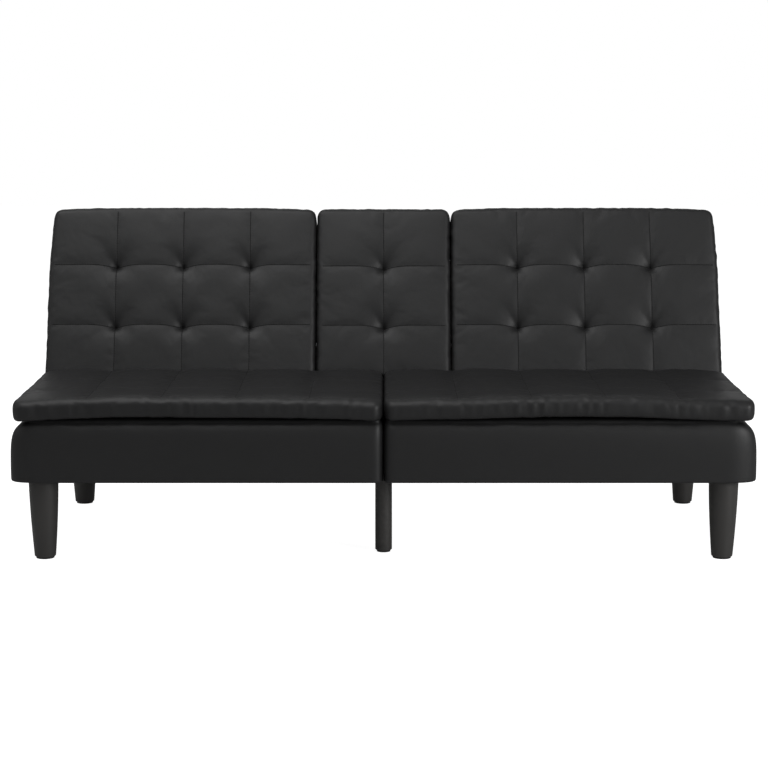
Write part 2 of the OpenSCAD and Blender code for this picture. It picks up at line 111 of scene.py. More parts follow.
def make_studio():
    """A white room seen by the camera, a weaker one that lights, and four soft lights."""
    scene = bpy.context.scene
    scene.view_settings.view_transform = "Standard"
    world = bpy.data.worlds.new("studio")
    scene.world = world
    world.use_nodes = True
    nodes, links = world.node_tree.nodes, world.node_tree.links
    back = nodes["Background"]
    back.inputs["Color"].default_value = (1, 1, 1, 1)
    back.inputs["Strength"].default_value = 0.25
    white = nodes.new("ShaderNodeBackground")
    white.inputs["Color"].default_value = (1, 1, 1, 1)
    white.inputs["Strength"].default_value = 1.0
    path = nodes.new("ShaderNodeLightPath")
    mix = nodes.new("ShaderNodeMixShader")
    links.new(path.outputs["Is Camera Ray"], mix.inputs["Fac"])
    links.new(back.outputs[0], mix.inputs[1])
    links.new(white.outputs[0], mix.inputs[2])
    links.new(mix.outputs[0], nodes["World Output"].inputs["Surface"])
    soft_light("overhead_light", (-0.8, -0.9, 3.0), (0, 0.1, 0.5), (3.4, 2.2), 50)
    soft_light("right_light", (3.2, -2.6, 1.3), (0.4, 0, 0.3), (1.4, 1.4), 62)
    soft_light("left_light", (-3.4, -0.8, 1.6), (0, 0, 0.5), (1.2, 1.6), 4)
    soft_light("rear_light", (0, 4.0, 2.4), (0, 0, 0.4), (3.0, 1.6), 40)


def make_floor():
    """A wide pale floor that looks white to the camera."""
    mesh = bpy.data.meshes.new("floor")
    r = 14.0
    mesh.from_pydata([(-r, -r, 0), (r, -r, 0), (r, r, 0), (-r, r, 0)], [], [(0, 1, 2, 3)])
    floor = bpy.data.objects.new("floor", mesh)
    bpy.context.scene.collection.objects.link(floor)
    material = bpy.data.materials.new("pale_floor")
    material.use_nodes = True
    nodes, links = material.node_tree.nodes, material.node_tree.links
    surface = nodes["Principled BSDF"]
    surface.inputs["Base Color"].default_value = (0.5, 0.5, 0.5, 1)
    surface.inputs["Roughness"].default_value = 0.9
    surface.inputs["Emission Color"].default_value = (1, 1, 1, 1)
    path = nodes.new("ShaderNodeLightPath")
    glow = nodes.new("ShaderNodeMath")
    glow.operation = "MULTIPLY"
    glow.inputs[1].default_value = 0.93
    links.new(path.outputs["Is Camera Ray"], glow.inputs[0])
    links.new(glow.outputs[0], surface.inputs["Emission Strength"])
    mesh.materials.append(material)


# Node groups ----------------------------------------------------------------

def new_group(name, inputs, outputs):
    """A shader group with float or colour sockets: inputs and outputs are (name, kind, default)."""
    group = bpy.data.node_groups.new(name, "ShaderNodeTree")
    for label, kind, value in inputs:
        socket = group.interface.new_socket(label, in_out="INPUT", socket_type=kind)
        socket.default_value = value
    for label, kind in outputs:
        group.interface.new_socket(label, in_out="OUTPUT", socket_type=kind)
    return group, group.nodes.new("NodeGroupInput"), group.nodes.new("NodeGroupOutput")


def math_node(tree, operation, *values):
    node = tree.nodes.new("ShaderNodeMath")
    node.operation = operation
    for i, value in enumerate(values):
        if isinstance(value, (int, float)):
            node.inputs[i].default_value = value
        else:
            tree.links.new(value, node.inputs[i])
    return node.outputs[0]


def mix_colour(tree, factor, low, high):
    node = tree.nodes.new("ShaderNodeMix")
    node.data_type = "RGBA"
    for socket, value in ((node.inputs[0], factor), (node.inputs[6], low), (node.inputs[7], high)):
        if isinstance(value, tuple):
            socket.default_value = (*value, 1)
        elif isinstance(value, (int, float)):
            socket.default_value = value
        else:
            tree.links.new(value, socket)
    return node.outputs[2]


def map_value(tree, value, low, high, out_low, out_high):
    node = tree.nodes.new("ShaderNodeMapRange")
    tree.links.new(value, node.inputs[0])
    for i, number in enumerate((low, high, out_low, out_high)):
        node.inputs[i + 1].default_value = number
    return node.outputs[0]


def place_texture(tree, kind, scale, **settings):
    """A noise or cell texture laid on the object's own coordinates, in metres."""
    where = tree.nodes.new("ShaderNodeTexCoord")
    node = tree.nodes.new(kind)
    tree.links.new(where.outputs["Object"], node.inputs["Vector"])
    if isinstance(scale, (int, float)):
        node.inputs["Scale"].default_value = scale
    else:
        tree.links.new(scale, node.inputs["Scale"])
    for name, value in settings.items():
        if name in node.inputs:
            node.inputs[name].default_value = value
        else:
            setattr(node, name, value)
    return node


def pebble_group():
    """Embossed leather grain: rounded pebbles with fine valleys, and slow unevenness."""
    group, entry, out = new_group("pebble_grain", [
        ("Cells", "NodeSocketFloat", 620.0), ("Unevenness", "NodeSocketFloat", 0.5)],
        [("Height", "NodeSocketFloat"), ("Tone", "NodeSocketFloat")])
    cells = place_texture(group, "ShaderNodeTexVoronoi", entry.outputs["Cells"], feature="SMOOTH_F1",
                          Randomness=0.9)
    fine = place_texture(group, "ShaderNodeTexNoise", 1500.0, Detail=3.0)
    slow = place_texture(group, "ShaderNodeTexNoise", 11.0, Detail=4.0)
    pebble = map_value(group, cells.outputs["Distance"], 0.05, 0.75, 1.0, 0.0)
    rough = math_node(group, "MULTIPLY", fine.outputs["Fac"], 0.25)
    group.links.new(math_node(group, "ADD", pebble, rough), out.inputs["Height"])
    drift = math_node(group, "SUBTRACT", slow.outputs["Fac"], 0.5)
    uneven = math_node(group, "MULTIPLY", drift, entry.outputs["Unevenness"])
    group.links.new(math_node(group, "ADD", uneven, 0.5), out.inputs["Tone"])
    return group


def seam_group():
    """A sewn seam along the mesh's seam_gap attribute, its distance from the seam in millimetres."""
    group, entry, out = new_group("sewn_seam", [
        ("Width", "NodeSocketFloat", 1.6), ("Pucker", "NodeSocketFloat", 0.6)],
        [("Groove", "NodeSocketFloat"), ("Mask", "NodeSocketFloat")])
    gap = group.nodes.new("ShaderNodeAttribute")
    gap.attribute_name = "seam_gap"
    near = math_node(group, "DIVIDE", gap.outputs["Fac"], entry.outputs["Width"])
    mask = map_value(group, near, 0.35, 1.0, 1.0, 0.0)
    run = group.nodes.new("ShaderNodeAttribute")
    run.attribute_name = "seam_run"
    wave = math_node(group, "SINE", math_node(group, "MULTIPLY", run.outputs["Fac"], 2 * math.pi / 7.0))
    close = map_value(group, near, 1.0, 5.0, 1.0, 0.0)
    pucker = math_node(group, "MULTIPLY", math_node(group, "MULTIPLY", wave, close), entry.outputs["Pucker"])
    depth = math_node(group, "MULTIPLY", mask, -1.0)
    group.links.new(math_node(group, "ADD", depth, math_node(group, "MULTIPLY", pucker, 0.25)),
                    out.inputs["Groove"])
    group.links.new(mask, out.inputs["Mask"])
    return group


def scuff_group():
    """Worn or polished places on edges and high spots."""
    group, entry, out = new_group("edge_scuff", [
        ("Amount", "NodeSocketFloat", 0.5)], [("Mask", "NodeSocketFloat")])
    geometry = group.nodes.new("ShaderNodeNewGeometry")
    edge = map_value(group, geometry.outputs["Pointiness"], 0.52, 0.62, 0.0, 1.0)
    spots = place_texture(group, "ShaderNodeTexNoise", 90.0, Detail=5.0)
    broken = map_value(group, spots.outputs["Fac"], 0.4, 0.65, 0.2, 1.0)
    both = math_node(group, "MULTIPLY", edge, broken)
    group.links.new(math_node(group, "MULTIPLY", both, entry.outputs["Amount"]), out.inputs["Mask"])
    return group


def weave_group():
    """Plain woven cloth or webbing: crossing threads and a soft fuzz."""
    group, entry, out = new_group("plain_weave", [("Threads", "NodeSocketFloat", 900.0)],
                                  [("Height", "NodeSocketFloat")])
    where = group.nodes.new("ShaderNodeTexCoord")
    split = group.nodes.new("ShaderNodeSeparateXYZ")
    group.links.new(where.outputs["Object"], split.inputs[0])
    threads = entry.outputs["Threads"]
    across = math_node(group, "SINE", math_node(group, "MULTIPLY", split.outputs[0], threads))
    slope = math_node(group, "ADD", split.outputs[1], split.outputs[2])
    along = math_node(group, "SINE", math_node(group, "MULTIPLY", slope, threads))
    fuzz = place_texture(group, "ShaderNodeTexNoise", 800.0, Detail=2.0)
    woven = math_node(group, "MULTIPLY", across, along)
    group.links.new(math_node(group, "ADD", woven, fuzz.outputs["Fac"]), out.inputs["Height"])
    return group


GROUPS = {"grain": pebble_group(), "seam": seam_group(), "scuff": scuff_group(), "weave": weave_group()}


def use_group(material, key, **values):
    node = material.node_tree.nodes.new("ShaderNodeGroup")
    node.node_tree = GROUPS[key]
    for name, value in values.items():
        node.inputs[name].default_value = value
    return node


def new_material(name, roughness, **sockets):
    material = bpy.data.materials.new(name)
    material.use_nodes = True
    surface = material.node_tree.nodes["Principled BSDF"]
    surface.inputs["Roughness"].default_value = roughness
    for label, value in sockets.items():
        surface.inputs[label.replace("_", " ")].default_value = value
    return material, surface


def add_bump(material, surface, height, distance, strength=1.0):
    bump = material.node_tree.nodes.new("ShaderNodeBump")
    bump.inputs["Distance"].default_value = distance
    bump.inputs["Strength"].default_value = strength
    material.node_tree.links.new(height, bump.inputs["Height"])
    material.node_tree.links.new(bump.outputs[0], surface.inputs["Normal"])


def faux_leather():
    material, surface = new_material("black_faux_leather", 0.48, Specular_IOR_Level=0.42)
    tree = material.node_tree
    grain = use_group(material, "grain", Cells=640.0, Unevenness=0.9)
    seam = use_group(material, "seam", Width=1.4, Pucker=0.5)
    scuff = use_group(material, "scuff", Amount=0.35)
    skin = mix_colour(tree, grain.outputs["Tone"], (0.0085, 0.0085, 0.0088), (0.0125, 0.0125, 0.013))
    rubbed = mix_colour(tree, scuff.outputs["Mask"], skin, (0.022, 0.022, 0.0225))
    sewn = mix_colour(tree, seam.outputs["Mask"], rubbed, (0.003, 0.003, 0.003))
    tree.links.new(sewn, surface.inputs["Base Color"])
    shine = map_value(tree, grain.outputs["Tone"], 0.0, 1.0, 0.56, 0.44)
    tree.links.new(math_node(tree, "ADD", shine, math_node(tree, "MULTIPLY", seam.outputs["Mask"], 0.3)),
                   surface.inputs["Roughness"])
    relief = math_node(tree, "ADD", math_node(tree, "MULTIPLY", grain.outputs["Height"], 0.12),
                       seam.outputs["Groove"])
    add_bump(material, surface, relief, 0.9 * MM, 0.8)
    return material


def powder_coat():
    material, surface = new_material("black_powder_coat", 0.5)
    tree = material.node_tree
    peel = place_texture(tree, "ShaderNodeTexNoise", 700.0, Detail=2.0)
    drift = place_texture(tree, "ShaderNodeTexNoise", 14.0, Detail=3.0)
    scuff = use_group(material, "scuff", Amount=0.5)
    coat = mix_colour(tree, drift.outputs["Fac"], (0.016, 0.016, 0.017), (0.026, 0.026, 0.027))
    worn = mix_colour(tree, scuff.outputs["Mask"], coat, (0.09, 0.09, 0.09))
    tree.links.new(worn, surface.inputs["Base Color"])
    tree.links.new(map_value(tree, drift.outputs["Fac"], 0.3, 0.7, 0.42, 0.56), surface.inputs["Roughness"])
    add_bump(material, surface, peel.outputs["Fac"], 0.15 * MM, 0.6)
    return material


def plated_steel(name, tint, roughness):
    material, surface = new_material(name, roughness, Metallic=1.0)
    tree = material.node_tree
    streak = place_texture(tree, "ShaderNodeTexNoise", 260.0, Detail=4.0)
    stain = place_texture(tree, "ShaderNodeTexNoise", 30.0, Detail=3.0)
    dark = tuple(0.7 * c for c in tint)
    tree.links.new(mix_colour(tree, stain.outputs["Fac"], dark, tint), surface.inputs["Base Color"])
    tree.links.new(map_value(tree, streak.outputs["Fac"], 0.3, 0.7, roughness - 0.08, roughness + 0.12),
                   surface.inputs["Roughness"])
    add_bump(material, surface, streak.outputs["Fac"], 0.05 * MM, 0.5)
    return material


def moulded_plastic(name, low, high, roughness, texture):
    material, surface = new_material(name, roughness)
    tree = material.node_tree
    drift = place_texture(tree, "ShaderNodeTexNoise", 9.0, Detail=4.0)
    spark = place_texture(tree, "ShaderNodeTexVoronoi", 1400.0)
    scuff = use_group(material, "scuff", Amount=0.4)
    body = mix_colour(tree, drift.outputs["Fac"], low, high)
    worn = tuple(2.2 * c for c in high)
    tree.links.new(mix_colour(tree, scuff.outputs["Mask"], body, worn), surface.inputs["Base Color"])
    tree.links.new(map_value(tree, drift.outputs["Fac"], 0.3, 0.7, roughness - 0.05, roughness + 0.06),
                   surface.inputs["Roughness"])
    add_bump(material, surface, spark.outputs["Distance"], texture, 0.7)
    return material


def cloth(name, colour, threads, depth):
    material, surface = new_material(name, 0.92, Sheen_Weight=0.25, Sheen_Roughness=0.6)
    tree = material.node_tree
    weave = use_group(material, "weave", Threads=threads)
    light = tuple(1.7 * c for c in colour)
    tone = map_value(tree, weave.outputs["Height"], -0.6, 1.6, 0.0, 1.0)
    tree.links.new(mix_colour(tree, tone, colour, light), surface.inputs["Base Color"])
    add_bump(material, surface, weave.outputs["Height"], depth, 0.8)
    return material


LEATHER = faux_leather()


# Pads -----------------------------------------------------------------------

COARSE = 1
NO_SEAM = 0.099             # gap stored where a pad has no seam nearby, in metres
SEAM_FADE = 0.045           # seams get shallow this close to a pad's edge
TUFT_HELD = 13e-3           # the cover is held down within this distance of a tuft
SAG_REACH = 34e-3           # how far round a tuft the row seams are pulled down


def split_axis(low, high, stops, cell):
    """Positions from low to high with a grid line on every stop, about one cell apart."""
    marks = [low, *stops, high]
    line = [low]
    for a, b in zip(marks, marks[1:]):
        count = max(2, round((b - a) / cell))
        line += [a + (b - a) * i / count for i in range(1, count + 1)]
    return np.array(line)


def round_corners(a, b, outline, radius):
    """Moves the points of a rectangular grid so that its four corners become arcs."""
    a0, a1, b0, b1 = outline
    a, b = a.copy(), b.copy()
    for ca, sa in ((a0 + radius, -1), (a1 - radius, 1)):
        for cb, sb in ((b0 + radius, -1), (b1 - radius, 1)):
            p, q = (a - ca) * sa / radius, (b - cb) * sb / radius
            inside = (p > 0) & (q > 0)
            pr = p * np.sqrt(np.clip(1 - q * q / 2, 0, 1))
            qr = q * np.sqrt(np.clip(1 - p * p / 2, 0, 1))
            a[inside] = (ca + sa * radius * pr)[inside]
            b[inside] = (cb + sb * radius * qr)[inside]
    return a, b


def edge_loop(rows, columns):
    """Grid indices round the rim of a grid, anticlockwise."""
    top = [(0, j) for j in range(columns)]
    right = [(i, columns - 1) for i in range(1, rows)]
    bottom = [(rows - 1, j) for j in range(columns - 2, -1, -1)]
    left = [(i, 0) for i in range(rows - 2, 0, -1)]
    return [i * columns + j for i, j in top + right + bottom + left]


def rim_normals(a, b):
    """Outward directions round a closed anticlockwise rim."""
    ta, tb = np.roll(a, -1) - np.roll(a, 1), np.roll(b, -1) - np.roll(b, 1)
    length = np.hypot(ta, tb)
    return tb / length, -ta / length


def gap_to(value, stops):
    """Distance from the nearest stop, or a metre where there is none."""
    if not len(stops):
        return np.full(value.shape, 1.0)
    return np.abs(value[..., None] - np.array(stops)).min(-1)


def wander(rng, x, pitch):
    """Smooth random waves along x, about one per two pitches."""
    count, start = 400, 150
    values = rng.normal(0, 1, count)
    place = (x / pitch + start) % (count - 1)
    whole = np.floor(place).astype(int)
    part = place - whole
    part = part * part * (3 - 2 * part)
    return values[whole] * (1 - part) + values[whole + 1] * part


def tuft_dent(a, b, columns, rows, depth, spread):
    """Pulled-in tufts: soft slopes, longer above and sideways, a tight core and folds that fan upwards."""
    fan, core_r = 20e-3, 6 * MM
    dent = np.zeros(a.shape)
    for column in columns:
        for row in rows:
            across, along = a - column, b - row
            away = np.hypot(across, along)
            turn = np.arctan2(along, across)
            slope = spread * (1 + 0.25 * np.sin(turn) + 0.1 * np.cos(2 * turn))
            upward = np.clip(np.sin(turn) + 0.1, 0, 1)
            folds = np.cos(5 * turn + 0.5 * math.pi) * (away / fan) * np.exp(1 - away / fan) * upward
            core = np.exp(-(away / core_r) ** 2)
            dent += depth * (0.93 * np.exp(-away / slope) + 0.16 * core + 0.032 * folds)
    return dent


def gathers(seed, depth, a, b, column_gap, row_gap, s, t, width, length):
    """Small irregular folds that run away from the seams, the tufts and the outer edge."""
    rng = np.random.default_rng(seed)
    fold = wander(rng, b + 0.25 * a, 11 * MM) * np.exp(-column_gap / (15 * MM))
    fold += wander(rng, a + 0.2 * b, 12 * MM) * np.exp(-row_gap / (17 * MM))
    edge_b, edge_a = (1 - np.abs(t)) * length / 2, (1 - np.abs(s)) * width / 2
    fold += 1.6 * wander(rng, a + 0.35 * b, 13 * MM) * np.exp(-edge_b / (20 * MM))
    fold += 1.3 * wander(rng, b + 0.3 * a, 14 * MM) * np.exp(-edge_a / (18 * MM))
    slow = wander(rng, a * 0.7 + b, 70 * MM) + wander(rng, a - b * 0.6, 90 * MM)
    return depth * (fold * 0.7 + slow * 0.8)


class Pad:
    """A padded form: a tufted face, a rim that turns down through rings, and a flat underside.

    Its own axes are a across, b along and c outwards, all in metres. Each ring is (out, level), or
    ((a0, a1, b0, b1), level) for an inner wall; reach scales out on the low-a, high-a, low-b, high-b sides.
    Seams lie on columns and rows, with a tuft where they cross. crown raises the middle, tuft, seam and
    row_seam pull the face in, and gather is the height of its small folds. sag bends the rows down at the
    tufts, droop and taper draw in the far outer corner, hem lowers the front rim, folds ripples the rim,
    follow lets every ring rise and fall with the face, and edge_seam is the ring that carries a seam."""

    def __init__(self, outline, face_c, rings, cell, corner, reach=(1, 1, 1, 1), columns=(), rows=(),
                 crown=0.0, tuft=0.0, tuft_r=30 * MM, seam=0.0, seam_w=10 * MM, row_seam=0.0, sag=0.0,
                 droop=0.0, taper=0.0, shape=None, hem=0.0, folds=0.0, follow=False, edge_seam=None,
                 gather=0.0, seed=1):
        widest = max(out for out, _ in rings if not isinstance(out, tuple))
        outer = [v + d * widest * r for v, d, r in zip(outline, (1, -1, 1, -1), reach)]
        a0, a1, b0, b1 = outer
        grid_a, grid_b = np.meshgrid(split_axis(a0, a1, columns, cell), split_axis(b0, b1, rows, cell))
        self.shape = grid_a.shape
        column_gap, row_gap = gap_to(grid_a, columns), gap_to(grid_b, rows)
        seam_gap, tuft_gap = np.minimum(column_gap, row_gap), np.hypot(column_gap, row_gap)
        s = 2 * (grid_a - a0) / (a1 - a0) - 1
        t = 2 * (grid_b - b0) / (b1 - b0) - 1

        c = face_c + crown * (1 - np.abs(s) ** 4) * (1 - np.abs(t) ** 4)
        to_edge = np.minimum((1 - np.abs(s)) * (a1 - a0), (1 - np.abs(t)) * (b1 - b0)) / 2
        fade = np.clip(to_edge / SEAM_FADE, 0, 1)
        c -= tuft_dent(grid_a, grid_b, columns, rows, tuft, tuft_r)
        c -= seam * np.exp(-column_gap / seam_w) * (0.35 + 0.65 * fade)
        c -= row_seam * np.exp(-row_gap / seam_w) * fade
        c += gathers(seed, gather, grid_a, grid_b, column_gap, row_gap, s, t, a1 - a0, b1 - b0)
        grid_b = grid_b - sag * np.exp(-(tuft_gap / SAG_REACH) ** 2)
        grid_b = grid_b - droop * np.abs(s) ** 5 * np.clip(t, 0, 1) ** 2
        outer_side = np.clip(s, 0, 1) ** 3
        grid_a = grid_a - outer_side * (taper * np.clip(t, 0, 1) ** 2.2 - 0.25 * taper * np.clip(-t, 0, 1))
        if shape is not None:
            c += shape(s, t, column_gap)
        a, b = round_corners(grid_a, grid_b, outer, corner)

        self.on_seam = seam_gap.ravel() < 1e-6
        self.pinned = self.on_seam | (tuft_gap.ravel() < TUFT_HELD)
        face = np.stack([a.ravel(), b.ravel(), c.ravel()], 1)
        self.rim, self.count_face, self.ring_count = edge_loop(*self.shape), len(face), len(rings)
        layers, way = self._wrap(face[self.rim], face_c, rings, widest, reach, hem, folds, follow, seed)
        self.points = np.vstack([face, *layers])
        self.gap = np.full(len(self.points), NO_SEAM)
        self.gap[:self.count_face] = seam_gap.ravel()
        self.run = np.zeros(len(self.points))
        self.run[:self.count_face] = np.where(column_gap < row_gap, grid_b, grid_a).ravel()
        for r, layer in enumerate(layers):
            self.run[self.ring_ids(r)] = way
            if edge_seam is not None:
                self.gap[self.ring_ids(r)] = np.linalg.norm(layer - layers[edge_seam], axis=1)
        self.faces = self._skin()

    @staticmethod
    def _wrap(rim, face_c, rings, widest, reach, hem, folds, follow, seed):
        """The points of each ring, and how far along the rim they lie."""
        ra, rb, rc = rim.T
        na, nb = rim_normals(ra, rb)
        push_a = na * np.where(na < 0, reach[0], reach[1])
        push_b = nb * np.where(nb < 0, reach[2], reach[3])
        front = np.clip(-nb, 0, 1)
        way = np.cumsum(np.hypot(np.diff(ra, prepend=ra[0]), np.diff(rb, prepend=rb[0])))
        rng = np.random.default_rng(seed + 100)
        ripple = wander(rng, way, 9 * MM) * np.clip(wander(rng, way, 90 * MM), 0.45, 1.0)
        folded_above = rings[-1][1] + 4 * MM
        layers = []
        for index, (out, level) in enumerate(rings):
            if isinstance(out, tuple):
                last = layers[-1]
                low, high = last.min(0), last.max(0)
                wall = (last - low)[:, :2] / (high - low)[:2]
                layer = np.stack([out[0] + wall[:, 0] * (out[1] - out[0]),
                                  out[2] + wall[:, 1] * (out[3] - out[2]), np.full(len(rim), level)], 1)
            else:
                dip = np.clip(rc - face_c, -0.03, 0.02) * (1.0 if follow else max(0.0, 1 - out / widest))
                out = out + folds * ripple * (out / widest) * (level > folded_above)
                lower = hem * front * np.clip((index - 4) / 3, 0, 1) * (index < len(rings) - 1)
                layer = np.stack([ra + push_a * out, rb + push_b * out, level + dip - lower], 1)
            layers.append(layer)
        return layers, way

    def _skin(self):
        """Faces over the grid and down through the rings."""
        rows, columns = self.shape
        faces = []
        for i in range(rows - 1):
            for j in range(columns - 1):
                k = i * columns + j
                faces.append((k, k + 1, k + columns + 1, k + columns))
        upper = list(self.rim)
        for r in range(self.ring_count):
            lower = [int(k) for k in self.ring_ids(r)]
            for k in range(len(lower)):
                n = (k + 1) % len(lower)
                faces.append((upper[n], upper[k], lower[k], lower[n]))
            upper = lower
        return faces

    def ring_ids(self, r):
        start = self.count_face + r * len(self.rim)
        return np.arange(start, start + len(self.rim))

    def underside(self, points):
        """Points and faces of the flat back, sharing the last ring as its rim."""
        rows, columns = self.shape
        last_ids = self.ring_ids(self.ring_count - 1)
        last = points[last_ids]
        a0, b0 = last[:, 0].min(), last[:, 1].min()
        a1, b1 = last[:, 0].max(), last[:, 1].max()
        flat = points[:self.count_face].copy()
        low, high = flat.min(0), flat.max(0)
        flat[:, 0] = a0 + (flat[:, 0] - low[0]) / (high[0] - low[0]) * (a1 - a0)
        flat[:, 1] = b0 + (flat[:, 1] - low[1]) / (high[1] - low[1]) * (b1 - b0)
        flat[:, 2] = last[:, 2].mean()
        number = np.full(self.count_face, -1)
        number[self.rim] = last_ids
        inner = np.where(number < 0)[0]
        number[inner] = len(points) + np.arange(len(inner))
        faces = []
        for i in range(rows - 1):
            for j in range(columns - 1):
                k = i * columns + j
                faces.append(tuple(int(number[m]) for m in (k + columns, k + columns + 1, k + 1, k)))
        return flat[inner], faces


def set_cloth(modifier, pressure, slack, frames):
    """Thin padded leather that the filling blows up, held where its vertex group says."""
    stiffness = 12.0
    settings = modifier.settings
    settings.quality = 6
    settings.mass = 0.25
    settings.air_damping = 4.0
    settings.tension_stiffness = settings.compression_stiffness = stiffness
    settings.shear_stiffness = stiffness * 0.5
    settings.bending_stiffness = 0.6
    settings.tension_damping = settings.compression_damping = settings.shear_damping = 8.0
    settings.bending_damping = 0.8
    settings.vertex_group_mass = "held"
    settings.pin_stiffness = 4.0
    settings.shrink_min = settings.shrink_max = -slack
    settings.use_pressure = True
    settings.uniform_pressure_force = pressure
    settings.effector_weights.gravity = 0.0
    modifier.collision_settings.use_collision = False
    modifier.collision_settings.use_self_collision = False
    modifier.point_cache.frame_start = 1
    modifier.point_cache.frame_end = frames


def plump(pad, held, pressure, slack, frames, cap, seed):
    """Blows the pad's skin up as cloth, held at the points in held, and returns the settled points."""
    rng = np.random.default_rng(seed)
    start = pad.points.copy()
    free = ~held
    start[free] += rng.normal(0, 0.12 * MM, (free.sum(), 3))
    mesh = bpy.data.meshes.new("settling")
    mesh.from_pydata(start.tolist(), [], pad.faces)
    piece = bpy.data.objects.new("settling", mesh)
    bpy.context.scene.collection.objects.link(piece)
    group = piece.vertex_groups.new(name="held")
    group.add([int(i) for i in np.where(held)[0]], 1.0, "REPLACE")
    set_cloth(piece.modifiers.new("cloth", "CLOTH"), pressure, slack, frames)
    scene = bpy.context.scene
    for number in range(1, frames + 1):
        scene.frame_set(number)
    shown = piece.evaluated_get(bpy.context.evaluated_depsgraph_get()).data
    settled = np.empty(len(shown.vertices) * 3)
    shown.vertices.foreach_get("co", settled)
    settled = settled.reshape(-1, 3)
    bpy.data.objects.remove(piece)
    bpy.data.meshes.remove(mesh)
    scene.frame_set(1)
    move = settled - pad.points
    far = np.linalg.norm(move, axis=1)
    limit = cap * np.tanh(far / cap) / np.maximum(far, 1e-9)
    return pad.points + move * limit[:, None]


def settle(pad, free_rings, pressure, slack, cap, frames, seed, top=None):
    """Simulates the face and its first rings as cloth over the held seams and walls."""
    held = np.ones(len(pad.points), bool)
    held[:pad.count_face] = pad.pinned
    for r in range(free_rings):
        held[pad.ring_ids(r)] = False
    pad.settled = plump(pad, held, pressure, slack, frames, cap, seed)
    if top is not None:
        high = pad.settled[:, 2] > top
        pad.settled[high, 2] = top + 0.25 * (pad.settled[high, 2] - top)


def build_piece(name, points, faces, material, body, nodes, gap, run, creases):
    """One subdivided piece; gap and run, in millimetres, drive the sewn seams of its material."""
    mesh = bpy.data.meshes.new(name)
    mesh.from_pydata(points.tolist(), [], faces)
    mesh.validate()
    for polygon in mesh.polygons:
        polygon.use_smooth = True
    for label, values, blank in (("seam_gap", gap, NO_SEAM / MM), ("seam_run", run, 0.0)):
        layer = mesh.attributes.new(label, "FLOAT", "POINT")
        full = np.full(len(mesh.vertices), blank)
        full[:len(values)] = values
        layer.data.foreach_set("value", full.astype(np.float32))
    marked = np.zeros(len(mesh.vertices), bool)
    marked[:len(creases)] = creases
    layer = mesh.attributes.new("crease_edge", "FLOAT", "EDGE")
    pairs = np.array([e.vertices[:] for e in mesh.edges])
    layer.data.foreach_set("value", (0.45 * (marked[pairs[:, 0]] & marked[pairs[:, 1]])).astype(np.float32))
    mesh.materials.append(material)
    piece = bpy.data.objects.new(name, mesh)
    bpy.context.scene.collection.objects.link(piece)
    modifier = piece.modifiers.new("smooth", "SUBSURF")
    modifier.levels = modifier.render_levels = 1
    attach(piece, body)
    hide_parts(*nodes)
    return piece


def seat_world(points):
    """Pad axes to the room: a is X, b is the distance behind the front face, c is the height."""
    return points + np.array([0.0, FRONT_Y, 0.0])


def back_world(points):
    """Pad axes to the room: a is X, b runs up the leaning backrest, c stands out of its front."""
    return points[:, :1] * ACROSS + points[:, 1:2] * UP_BACK + points[:, 2:3] * OUT_BACK


def rear_world(points):
    """As back_world, for a pad that faces backwards."""
    return back_world(points * np.array([1.0, 1.0, -1.0]))


def back_box(node):
    """Lowest and highest corner of a CAD node along the backrest's own axes."""
    mesh = frame["nodes"][node].data
    co = np.empty(len(mesh.vertices) * 3)
    mesh.vertices.foreach_get("co", co)
    own = co.reshape(-1, 3) @ np.stack([ACROSS, UP_BACK, OUT_BACK], 1)
    return own.min(0), own.max(0)


def seat_box_of(node):
    """Lowest and highest corner of a right-hand CAD node, measured from the front face."""
    low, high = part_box(node)
    return Vector((low.x, low.y - FRONT_Y, low.z)), Vector((high.x, high.y - FRONT_Y, high.z))


def mirrored(points, faces):
    return points * np.array([-1.0, 1.0, 1.0]), [tuple(reversed(f)) for f in faces]


def hand_of(side):
    return "left" if side < 0 else "right"


def finish_pad(stem, pad, side, to_world, body, nodes, flip=False):
    """Turns a settled pad into one piece: side 1 as it is, -1 mirrored, 0 in the middle."""
    extra, under = pad.underside(pad.settled)
    points, faces = np.vstack([pad.settled, extra]), pad.faces + under
    creases = np.zeros(len(points), bool)
    creases[:pad.count_face] = pad.on_seam
    if side < 0:
        points, faces = mirrored(points, faces)
    if flip:
        faces = [tuple(reversed(f)) for f in faces]
    name = f"{stem}_{hand_of(side)}" if side else stem
    return build_piece(name, to_world(points), faces, LEATHER, body, nodes,
                       gap=pad.gap / MM, run=pad.run / MM, creases=creases)


def quarter_turn(out, drop, level):
    """Rings round a soft edge: out sideways while going down from level by drop."""
    steps = 5
    turn = [math.pi / 2 * i / steps for i in range(1, steps + 1)]
    return [(out * math.sin(v), level - drop * (1 - math.cos(v))) for v in turn]


